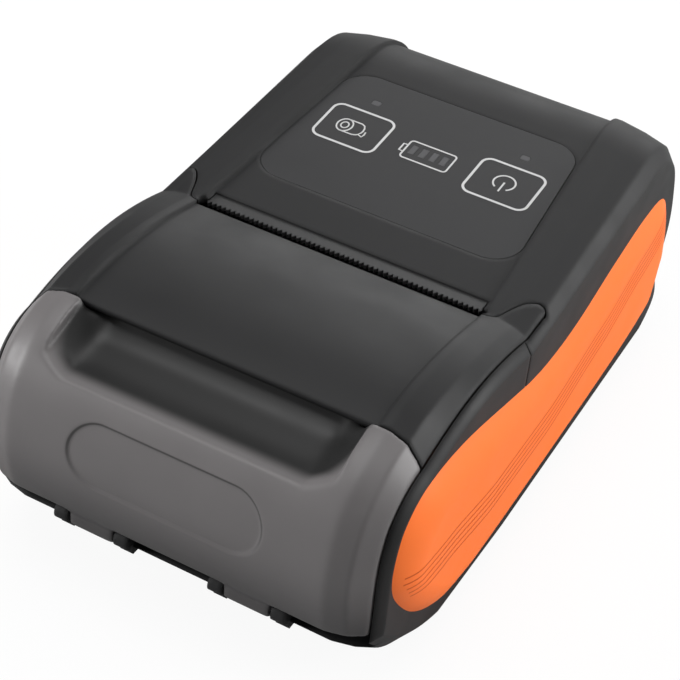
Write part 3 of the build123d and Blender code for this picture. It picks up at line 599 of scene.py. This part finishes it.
PAPER_X, PAPER_Y = -18.1, 22.6
ink_line("roll_rim", arc(PAPER_X, PAPER_Y, 1.55, 1.95, 0, 350), ROLL_LINE, "feed_button")
ink_line("roll_core", arc(PAPER_X, PAPER_Y, 0.75, 0.95, 0, 350, 20), 0.28, "feed_button")
ink_line("roll_near_side", [(PAPER_X, 20.65), (-15.6, 20.65), (-14.9, 20.9), (-14.4, 21.3)],
         ROLL_LINE, "feed_button", False)
ink_line("roll_far_side", [(PAPER_X, 24.55), (-15.3, 24.55), (-14.6, 24.2), (-14.2, 23.4), (-14.1, 22.6),
                           (-14.2, 21.9), (-14.5, 21.3), (-13.6, 20.9), (-13.4, 21.6), (-13.5, 22.6)],
         ROLL_LINE, "feed_button", False)

POWER_X = 16.1
ink_line("power_ring", arc(POWER_X, 23.0, 2.15, 2.15, -58, 238), LINE_WIDTH, "power_button", False)
ink_line("power_stroke", [(POWER_X, 23.1), (POWER_X, 21.6), (POWER_X, 20.2)], LINE_WIDTH,
         "power_button", False)

ink_line("battery_outline", round_box(0.2, 22.5, 4.9, 2.75, 0.7, 5), LINE_WIDTH, "base")
ink_line("battery_tip", [(-4.75, 23.6), (-5.6, 23.6), (-5.6, 21.4), (-4.75, 21.4)], LINE_WIDTH,
         "base", False)
print("ink lines on the sheet:", len(inked))

# %% [markdown]
# The head springs are plain tubes in the solids. Real ones are wound wire, so each gets a helix whose
# ends close up flat, between the frame and the heat sink.

# %% Wound head springs
SPRING_X, COIL_RADIUS, WIRE_RADIUS, END_ROOM = 16.0, 1.3, 0.16, 0.17
TURNS, STEPS = 4, 22
spring_low, spring_high = (Vector(corner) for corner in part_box("head_springs"))
middle_z = (spring_low.z + spring_high.z) / 2
coil_start = spring_low.y + END_ROOM * MM
coil_length = spring_high.y - spring_low.y - 2 * END_ROOM * MM
for side, name in ((-1, "head_spring_left"), (1, "head_spring_right")):
    curve = bpy.data.curves.new(name, "CURVE")
    curve.dimensions = "3D"
    curve.bevel_depth = WIRE_RADIUS * MM
    curve.bevel_resolution = 3
    line = curve.splines.new("POLY")
    line.points.add(TURNS * STEPS)
    for k in range(TURNS * STEPS + 1):
        t = k / (TURNS * STEPS)
        rise = 0.5 - math.cos(math.pi * t) / 2
        angle = 2 * math.pi * TURNS * t
        x = (side * SPRING_X + COIL_RADIUS * math.cos(angle)) * MM
        y = coil_start + coil_length * rise
        z = middle_z + COIL_RADIUS * MM * math.sin(angle)
        line.points[k].co = (x, y, z, 1)
    curve.materials.append(steel)
    spring = bpy.data.objects.new(name, curve)
    bpy.context.scene.collection.objects.link(spring)
    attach(spring, "base")
    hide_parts("head_springs")
print("springs:", TURNS, "turns each")

# %% [markdown]
# Four large soft lamps light the printer. The one above is the main light. The far one is reflected in
# the far end of the top, which makes it so much paler than the rest in the photograph. The right one
# lights the orange side and stands far back, so that the near right corner stays dark. The left one
# lights the front of the smoked cover.

# %% Lamps
def area_lamp(name, place, target, size, power):
    """A soft rectangular lamp, pointed at a target; lengths in metres and power in watts."""
    lamp = bpy.data.lights.new(name, "AREA")
    lamp.shape = "RECTANGLE"
    lamp.size, lamp.size_y = size
    lamp.energy = power
    holder = bpy.data.objects.new(name, lamp)
    holder.location = place
    holder.rotation_mode = "QUATERNION"
    holder.rotation_quaternion = (Vector(target) - Vector(place)).to_track_quat("-Z", "Y")
    bpy.context.scene.collection.objects.link(holder)


area_lamp("softbox_top", (-0.05, -0.05, 0.80), (0, 0, 0.03), (0.6, 0.6), 4.4)
area_lamp("softbox_right", (0.68, 0.44, 0.26), (0, 0, 0.02), (0.5, 0.4), 6.9)
area_lamp("softbox_left", (-0.68, -0.45, 0.28), (0, 0, 0.02), (0.4, 0.4), 6.6)
area_lamp("softbox_far", (-0.1, 0.85, 0.35), (0, 0, 0.03), (0.8, 0.3), 3.3)
print("lamps:", len(bpy.data.lights))

# %% [markdown]
# The room gives a weak even light but looks white to the camera, as the background of the photograph
# does. The table is treated the same way: the camera sees mostly plain white, mixed with a little of a
# matt grey surface, which keeps a faint shadow where the printer stands. That grey also throws less
# light back up than a white table would, so the lower parts of the printer stay dark.

# %% Background and table
SEEN_WHITE = 0.86
TABLE_HALF = 2.0

world = bpy.data.worlds.new("studio")
world.use_nodes = True
bpy.context.scene.world = world
tree = world.node_tree
room = tree.nodes["Background"]
room.inputs["Color"].default_value = (0.9, 0.9, 0.9, 1)
room.inputs["Strength"].default_value = 0.22
white = tree.nodes.new("ShaderNodeBackground")
white.inputs["Color"].default_value = (1, 1, 1, 1)
white.inputs["Strength"].default_value = 1.0
seen = tree.nodes.new("ShaderNodeLightPath")
pick = tree.nodes.new("ShaderNodeMixShader")
tree.links.new(seen.outputs["Is Camera Ray"], pick.inputs["Fac"])
tree.links.new(room.outputs["Background"], pick.inputs[1])
tree.links.new(white.outputs["Background"], pick.inputs[2])
tree.links.new(pick.outputs["Shader"], tree.nodes["World Output"].inputs["Surface"])

table_white, tree, shader = new_material("floor_white")
shader.inputs["Base Color"].default_value = (0.45, 0.45, 0.45, 1)
shader.inputs["Roughness"].default_value = 0.8
shader.inputs["Specular IOR Level"].default_value = 0.1
paper = tree.nodes.new("ShaderNodeEmission")
paper.inputs["Strength"].default_value = 1.07
seen = tree.nodes.new("ShaderNodeLightPath")
share = tree.nodes.new("ShaderNodeMath")
share.operation = "MULTIPLY"
share.inputs[1].default_value = SEEN_WHITE
pick = tree.nodes.new("ShaderNodeMixShader")
tree.links.new(seen.outputs["Is Camera Ray"], share.inputs[0])
tree.links.new(share.outputs["Value"], pick.inputs["Fac"])
tree.links.new(shader.outputs["BSDF"], pick.inputs[1])
tree.links.new(paper.outputs["Emission"], pick.inputs[2])
tree.links.new(pick.outputs["Shader"], tree.nodes["Material Output"].inputs["Surface"])

corners = [(x * TABLE_HALF, y * TABLE_HALF, 0) for x, y in ((-1, -1), (1, -1), (1, 1), (-1, 1))]
table_mesh = bpy.data.meshes.new("floor")
table_mesh.from_pydata(corners, [], [(0, 1, 2, 3)])
table_mesh.materials.append(table_white)
table = bpy.data.objects.new("floor", table_mesh)
bpy.context.scene.collection.objects.link(table)
print("table", 2 * TABLE_HALF, "m wide")
